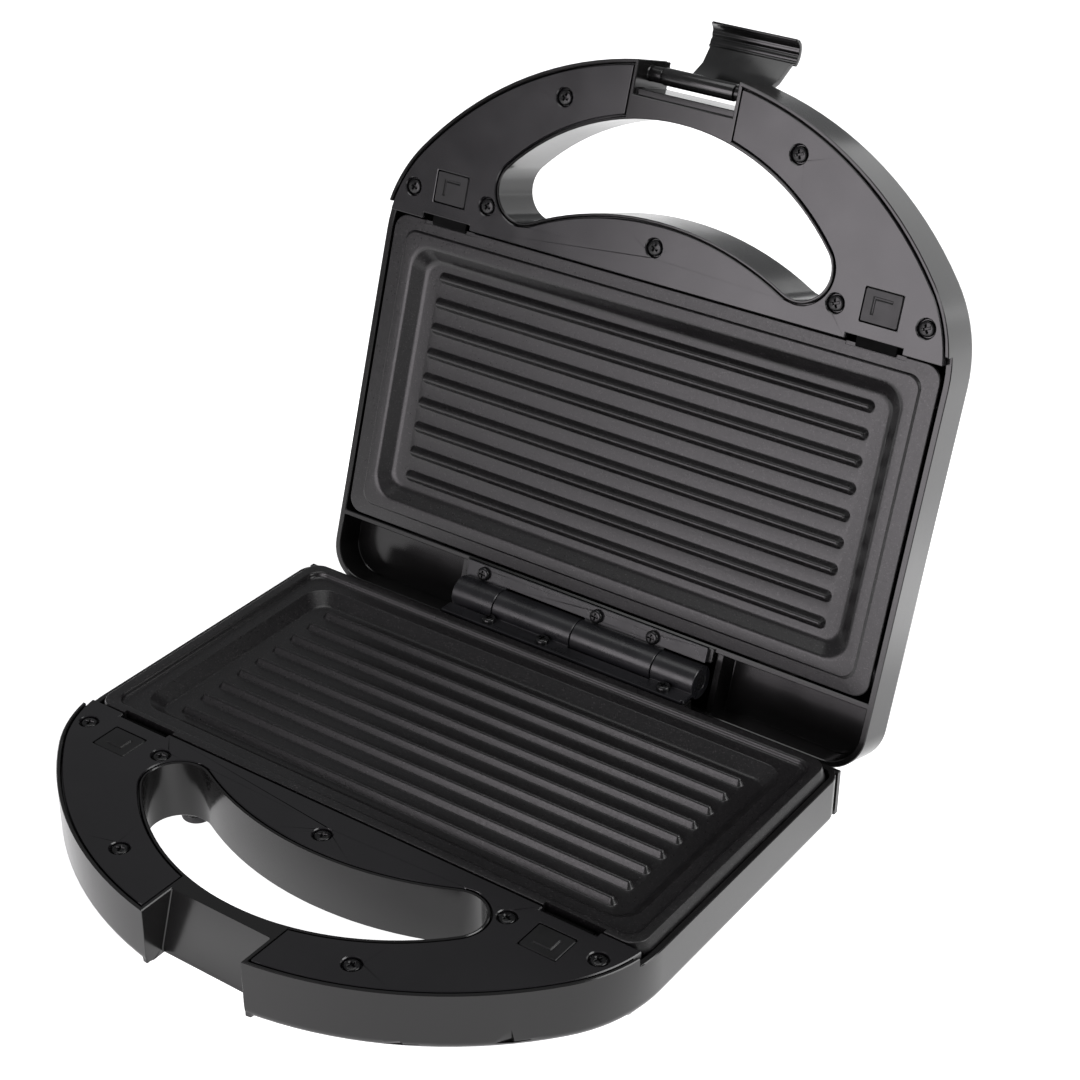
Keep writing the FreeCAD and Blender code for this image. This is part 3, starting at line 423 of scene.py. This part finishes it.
def block(bm, x0, x1, y0, y1, z0, z1):
    """A closed box, for the notches and hooks of the plates."""
    bmesh.ops.create_cube(bm, size=1.0, matrix=Matrix.Translation(
        ((x0 + x1) / 2, (y0 + y1) / 2, (z0 + z1) / 2)) @ Matrix.Diagonal(
        (x1 - x0, y1 - y0, z1 - z0, 1)))


def combine(bm, tool, operation):
    """Cuts or joins a second mesh into the first and returns the result."""
    mesh = bpy.data.meshes.new("tool")
    tool.to_mesh(mesh)
    tool.free()
    holder = bpy.data.objects.new("tool", mesh)
    bpy.context.scene.collection.objects.link(holder)
    made = evaluated(bm, "BOOLEAN", operation=operation, solver="EXACT", object=holder)
    bpy.data.objects.remove(holder)
    bpy.data.meshes.remove(mesh)
    return made


def plate_notches():
    """Where the locking tongues reach over the front flange."""
    tool = bmesh.new()
    for side in (-1, 1):
        x0, x1 = sorted(side * x for x in NOTCH_X)
        block(tool, x0, x1, -80, NOTCH_Y, NOTCH_Z, 2)
    return tool


def plate_hooks():
    """Hooks under the rear flange."""
    tool = bmesh.new()
    low, high = TAB_Z
    for side in (-1, 1):
        x0, x1 = side * TAB_X - TAB_HALF, side * TAB_X + TAB_HALF
        block(tool, x0, x1, LIP_Y - 1.6, LIP_Y, low, FLANGE_Z + 0.3)
        block(tool, x0, x1, LIP_Y - 0.2, TAB_Y, low, high)
    return tool


def plate(name, has_lip, transform, body, node):
    """Die-cast tray with ribs, built as rings from the underside round to the floor.
    Each point holds the ring's half width, half depth, corner radius and height."""
    ledge = Vector((LIP_X - LIP_W, LIP_Y - LIP_W, 5.0, LEDGE_Z))
    well = Vector((ledge[0] - LEDGE_W, ledge[1] - LEDGE_W, 9.0, LEDGE_Z))
    floor = Vector((well[0] - WELL_W, well[1] - WELL_W, 6.0, FLOOR_Z))
    under = [Vector((floor[0] + WALL_SPREAD, floor[1] + WALL_SPREAD, 7.0, FLOOR_Z - PLATE_T)),
             Vector((well[0] + WALL_SPREAD, well[1] + WALL_SPREAD, 9.0, FLANGE_Z))]
    if has_lip:
        foot_x, foot_y = LIP_X + LIP_REACH_X, LIP_Y + LIP_REACH_Y
        side = [Vector((foot_x, foot_y, 7.0, FLANGE_Z)),
                Vector((foot_x, foot_y, 7.0, FLANGE_Z + 1.2)),
                Vector((LIP_X, LIP_Y, 6.0, -0.1)),
                Vector((ledge[0] + 0.5, ledge[1] + 0.5, 5.5, -0.1))]
        radii = [0.6, 0.5, 0.4, 0.5, 1.3, 1.3, 0.9]
    else:
        foot_x = LIP_X + LID_FLANGE_REACH
        side = [Vector((foot_x, LIP_Y, 6.0, FLANGE_Z)),
                Vector((foot_x, LIP_Y, 6.0, LID_FLANGE_Z)),
                Vector((ledge[0] - 0.4, ledge[1] - 0.4, 5.0, LID_FLANGE_Z))]
        ledge = Vector((ledge[0] - 1.0, ledge[1] - 1.0, 5.0, LEDGE_Z))
        radii = [0.6, 0.4, 0.5, 0.3, 0.5]
    inner = floor - Vector((FLOOR_EDGE, FLOOR_EDGE, 0, 0))
    points = under + side + [ledge, well, floor, inner]
    radii = radii + [2.4, 3.4]
    path = fillet(points, radii)
    bm = bmesh.new()
    rows = skin_rings(bm, [rounded_rect(*p) for p in path])
    bm.faces.new(rows[0])
    feet = [rib(bm, (i - (RIB_COUNT - 1) / 2) * RIB_PITCH) for i in range(RIB_COUNT)]
    edges = ring_edges(bm, rows[-1])
    for foot in feet:
        edges += ring_edges(bm, foot)
    bmesh.ops.triangle_fill(bm, use_beauty=True, use_dissolve=False, edges=edges)
    bmesh.ops.recalc_face_normals(bm, faces=bm.faces)
    bm = combine(combine(bm, plate_notches(), "DIFFERENCE"), plate_hooks(), "UNION")
    make_piece(name, bm, transform, "plate", body, node)


# ---- screws ---------------------------------------------------------------------------------
def cross_radius(angle, arm, half_width):
    """How far a cross-shaped recess reaches at an angle."""
    c, s = abs(math.cos(angle)), abs(math.sin(angle))
    first = min(arm / max(c, 1e-6), half_width / max(s, 1e-6))
    second = min(half_width / max(c, 1e-6), arm / max(s, 1e-6))
    return max(first, second)


def pan_head(bm, x, y, turn):
    """One pan-head screw with a tapered cross recess, its head standing on the seat."""
    steps = 72
    angles = [2 * math.pi * i / steps for i in range(steps)]

    def circle(r, z):
        return [Vector((x + r * math.cos(a), y + r * math.sin(a), z)) for a in angles]

    def cross(arm, half_width, z):
        return [Vector((x + cross_radius(a - turn, arm, half_width) * math.cos(a),
                        y + cross_radius(a - turn, arm, half_width) * math.sin(a), z))
                for a in angles]

    top = SCREW_SEAT + SCREW_HEAD_H
    rings = [circle(SHANK_R, SCREW_SEAT - SCREW_LENGTH), circle(SHANK_R, SCREW_SEAT),
             circle(SCREW_HEAD_R, SCREW_SEAT),
             circle(SCREW_HEAD_R, SCREW_SEAT + 0.35 * SCREW_HEAD_H)]
    for i in range(1, 5):
        a = math.pi / 2 * i / 4
        rings.append(circle(SCREW_HEAD_R * (0.72 + 0.28 * math.cos(a)),
                            SCREW_SEAT + SCREW_HEAD_H * (0.35 + 0.6 * math.sin(a))))
    rings += [cross(1.75, 0.52, top), cross(1.6, 0.42, top - 0.12), cross(1.05, 0.3, top - 1.1)]
    rows = skin_rings(bm, rings)
    bm.faces.new(rows[0])
    bm.faces.new(rows[-1])


def screws(name, transform, body, node):
    """The seven screws of one cover."""
    bm = bmesh.new()
    for i, (x, y) in enumerate(COVER_SCREWS):
        pan_head(bm, x, y, SCREW_TURN + SCREW_TURN_STEP * i)
    bmesh.ops.recalc_face_normals(bm, faces=bm.faces)
    make_piece(name, bm, transform, "screws", body, node, SCREW_SHARP_DEG)


# ---- latch clip -----------------------------------------------------------------------------
CLIP_WIDE, CLIP_NARROW = 18.6, 14.9
BARREL_R, BARREL_BORE = 3.2, 1.56
ARM_TOP = ((1.9, -1.4), (10.0, -3.7), (19.4, -4.4), (28.0, -2.2), (34.6, 2.0))
ARM_UNDER = ((0.6, -2.9), (9.6, -5.9), (19.4, -6.7), (28.6, -4.6), (36.6, 1.2))
LIP_CENTRE, LIP_R, LIP_T = (33.2, 6.2), 4.9, 1.6
LIP_DEG = (-62.0, 55.0)


def clip_section():
    """Pairs of points (top face, under face) and a half width, from the barrel to the lip's edge.
    Millimetres from the rod's axis, in the open pose: Y to the back and Z up."""
    made = []
    for i, (top, under) in enumerate(zip(ARM_TOP, ARM_UNDER)):
        along = i / (len(ARM_TOP) - 1)
        made.append((top, under, CLIP_NARROW + (CLIP_WIDE - 1.2 - CLIP_NARROW) * along ** 2))
    steps = 30
    for i in range(steps + 1):
        t = i / steps
        angle = math.radians(LIP_DEG[0] + (LIP_DEG[1] - LIP_DEG[0]) * t)
        bead = 0.45 * abs(math.sin(2 * math.pi * (t - 0.1) / 0.5)) if 0.1 < t < 0.6 else 0.0
        thin = LIP_T * (1.0 - 0.5 * max(0.0, t - 0.7) / 0.3)
        corner = min(1.0, max(0.0, t - 0.85) / 0.15)
        reach = LIP_R - bead
        points = [(LIP_CENTRE[0] + r * math.cos(angle), LIP_CENTRE[1] + r * math.sin(angle))
                  for r in (reach, LIP_R + thin)]
        made.append((*points, CLIP_WIDE - 1.5 * (1.0 - math.sqrt(1.0 - corner ** 2))))
    return made


def latch_clip():
    """The arm and lip as one skin along the section, and the barrel round the rod."""
    bm = bmesh.new()
    rows = []
    for top, under, wide in clip_section():
        rows.append([bm.verts.new((x, *point)) for x, point in
                     ((-wide, top), (wide, top), (wide, under), (-wide, under))])
    for low, high in zip(rows, rows[1:]):
        for i in range(4):
            j = (i + 1) % 4
            bm.faces.new((low[i], low[j], high[j], high[i]))
    bm.faces.new(rows[0])
    bm.faces.new(rows[-1])
    bmesh.ops.recalc_face_normals(bm, faces=bm.faces)
    bm = evaluated(bm, "BEVEL", width=0.3, segments=3, limit_method="ANGLE",
                   angle_limit=math.radians(50.0), use_clamp_overlap=True)
    half = CLIP_NARROW
    ends = [(-half, BARREL_BORE), (-half, BARREL_R - 0.4), (-half + 0.15, BARREL_R - 0.1),
            (-half + 0.5, BARREL_R)]
    tube = ends + [(-x, r) for x, r in reversed(ends)]
    rings = []
    for x, radius in tube + tube[:1]:
        turn = [2 * math.pi * i / 56 for i in range(56)]
        rings.append([Vector((x, radius * math.cos(a), radius * math.sin(a))) for a in turn])
    skin_rings(bm, rings)
    bmesh.ops.remove_doubles(bm, verts=bm.verts, dist=0.001)
    bmesh.ops.recalc_face_normals(bm, faces=bm.faces)
    place = Matrix.Translation(JOINTS["latch_pivot"]["pos_m"]) @ Matrix.Diagonal((MM, MM, MM, 1))
    make_piece("latch_clip_finished", bm, place, SLOT_OF["latch_clip"], "latch", "latch_clip")


# ---- camera, lights and floor ---------------------------------------------------------------
CAMERA_AT = (0.40398, PLATE_Y - 0.53118, 0.50958)
CAMERA_AZIMUTH, CAMERA_ELEVATION, CAMERA_ROLL = 34.80, 30.04, 0.76
CAMERA_LENS = 76.03
# the floor's own light at a distance from the origin, metres
FLOOR_GLOW = ((0.0, 1.0), (0.12, 1.0), (0.19, 0.4), (0.23, 0.5), (0.27, 1.4), (0.31, 1.4),
              (0.38, 0.75))
GLOW_PER_METRE = 2.0  # how far along the colour ramp one metre reaches
GLOW_PEAK = 2.0       # the light's strength at the ramp's white
FLOOR_HALF = 6.0


def set_camera():
    """The one camera, with its roll."""
    data = bpy.data.cameras.new("camera")
    data.lens = CAMERA_LENS
    data.sensor_width = 36.0
    data.clip_start = 0.01
    camera = bpy.data.objects.new("camera", data)
    aim = (Matrix.Rotation(math.radians(CAMERA_AZIMUTH), 4, "Z")
           @ Matrix.Rotation(math.radians(90.0 - CAMERA_ELEVATION), 4, "X")
           @ Matrix.Rotation(math.radians(CAMERA_ROLL), 4, "Z"))
    camera.matrix_world = Matrix.Translation(CAMERA_AT) @ aim
    bpy.context.scene.collection.objects.link(camera)
    bpy.context.scene.camera = camera


def softbox(name, place, aim, size, radiance, colour=(1, 1, 1)):
    """Rectangular lamp of a given brightness, facing the point aim."""
    data = bpy.data.lights.new(name, "AREA")
    data.shape = "RECTANGLE"
    data.size, data.size_y = size
    data.energy = radiance * math.pi * size[0] * size[1]
    data.color = colour
    lamp = bpy.data.objects.new(name, data)
    lamp.location = place
    lamp.rotation_euler = (Vector(aim) - Vector(place)).to_track_quat("-Z", "Y").to_euler()
    bpy.context.scene.collection.objects.link(lamp)


def set_stage():
    """Pale glowing floor, even world light and four softboxes."""
    bm = bmesh.new()
    bmesh.ops.create_grid(bm, x_segments=8, y_segments=8, size=FLOOR_HALF)
    mesh = bpy.data.meshes.new("floor")
    bm.to_mesh(mesh)
    bm.free()
    floor = bpy.data.objects.new("floor", mesh)
    bpy.context.scene.collection.objects.link(floor)
    paper = Nodes("paper")
    tone = paper.noise(900.0)
    paper.join(paper.blend(paper.ramp(tone, 0.0, 1.0), (0.9, 0.9, 0.9), (0.93, 0.93, 0.93)),
               paper.shader.inputs["Base Color"])
    paper.shader.inputs["Roughness"].default_value = 0.9
    away = paper.add("ShaderNodeVectorMath", operation="LENGTH")
    paper.join(paper.place, away.inputs[0])
    reach = paper.add("ShaderNodeMath", operation="MULTIPLY")
    paper.join(away.outputs["Value"], reach.inputs[0])
    reach.inputs[1].default_value = GLOW_PER_METRE
    glow = paper.add("ShaderNodeValToRGB")
    ring = glow.color_ramp.elements
    for _ in range(len(FLOOR_GLOW) - 2):
        ring.new(0.5)
    for element, (distance, strength) in zip(ring, FLOOR_GLOW):
        element.position = GLOW_PER_METRE * distance
        element.color = (strength / GLOW_PEAK, strength / GLOW_PEAK, strength / GLOW_PEAK, 1)
    paper.join(reach.outputs["Value"], glow.inputs["Fac"])
    paper.join(glow.outputs["Color"], paper.shader.inputs["Emission Color"])
    paper.shader.inputs["Emission Strength"].default_value = GLOW_PEAK
    mesh.materials.append(paper.material)
    world = bpy.data.worlds.new("studio")
    world.use_nodes = True
    background = world.node_tree.nodes["Background"]
    background.inputs["Color"].default_value = (0.97, 0.98, 1.0, 1)
    background.inputs["Strength"].default_value = 0.25
    bpy.context.scene.world = world
    bpy.context.scene.view_settings.view_transform = "Standard"
    softbox("overhead", (-0.15, 0.1, 1.6), (0, 0, 0), (1.0, 1.0), 2.2)
    softbox("front", (-0.2, -1.6, 0.53), (-0.2, 0, 0.53), (1.56, 1.0), 4.6, (1.0, 0.94, 0.99))
    softbox("right", (0.95, 0.25, 0.65), (0.2, 0.05, 0.0), (0.7, 0.7), 5.5)
    softbox("backdrop", (0.7, 1.9, 0.42), (0.7, 0, 0.42), (2.0, 0.8), 0.9)


# ---- build ----------------------------------------------------------------------------------
set_camera()
set_stage()

plate("lower_cooking_plate", True, half_to_base(), "base", "lower_plate")
plate("upper_cooking_plate", False, half_to_lid(), "lid", "upper_plate")
screws("base_cover_fasteners", half_to_base(), "base", "base_cover_screws")
screws("lid_cover_fasteners", half_to_lid(), "lid", "lid_cover_screws")
latch_clip()

# width of the broken edges, mm
ROUNDED = {"base_housing": 0.3, "lid_housing": 0.3, "base_cover": 0.35, "lid_cover": 0.35,
           "base_hinge": 0.2, "lid_hinge": 0.2, "base_pan": 0.5,
           "base_button_left": 0.25, "base_button_right": 0.25,
           "lid_button_left": 0.25, "lid_button_right": 0.25}
for node, edge in ROUNDED.items():
    refine(node, edge, "button" if "button" in node else None)

for node, obj in frame["nodes"].items():
    obj.data.materials.clear()
    obj.data.materials.append(MATERIALS[SLOT_OF[node]])
